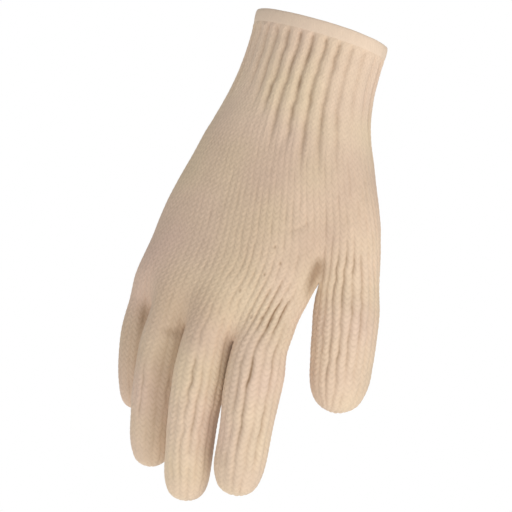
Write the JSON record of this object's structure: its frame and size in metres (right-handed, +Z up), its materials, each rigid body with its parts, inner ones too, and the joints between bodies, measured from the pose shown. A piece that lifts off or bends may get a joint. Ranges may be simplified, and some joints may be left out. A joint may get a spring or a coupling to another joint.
{
  "type": "cotton work glove",
  "caption": "Seamless string-knit cotton work glove for the right hand in its worn shape, with a ribbed elastic cuff and an overcast hem.",
  "frame": {"origin": "centre of the cuff's opening, where a wrist goes in", "axes": "+Z up out of the cuff, with the fingers hanging towards -Z; +X towards the thumb's side; -Y out of the back of the hand and +Y out of the palm"},
  "size_m": [0.1262, 0.0618, 0.2423],
  "materials": {
    "cotton_knit": "matt unbleached cotton yarn in plain knit",
    "rib_knit": "the same yarn drawn into ribs by elastic",
    "hem_thread": "matt overcast thread, close and even"
  },
  "bodies": {
    "root": {"little_finger": "cotton_knit", "ring_finger": "cotton_knit", "middle_finger": "cotton_knit", "index_finger": "cotton_knit", "upper_palm": "cotton_knit", "thumb": "cotton_knit", "lower_palm": "cotton_knit", "ribbed_cuff": "rib_knit", "cuff_hem": "hem_thread"}
  },
  "joints": []
}
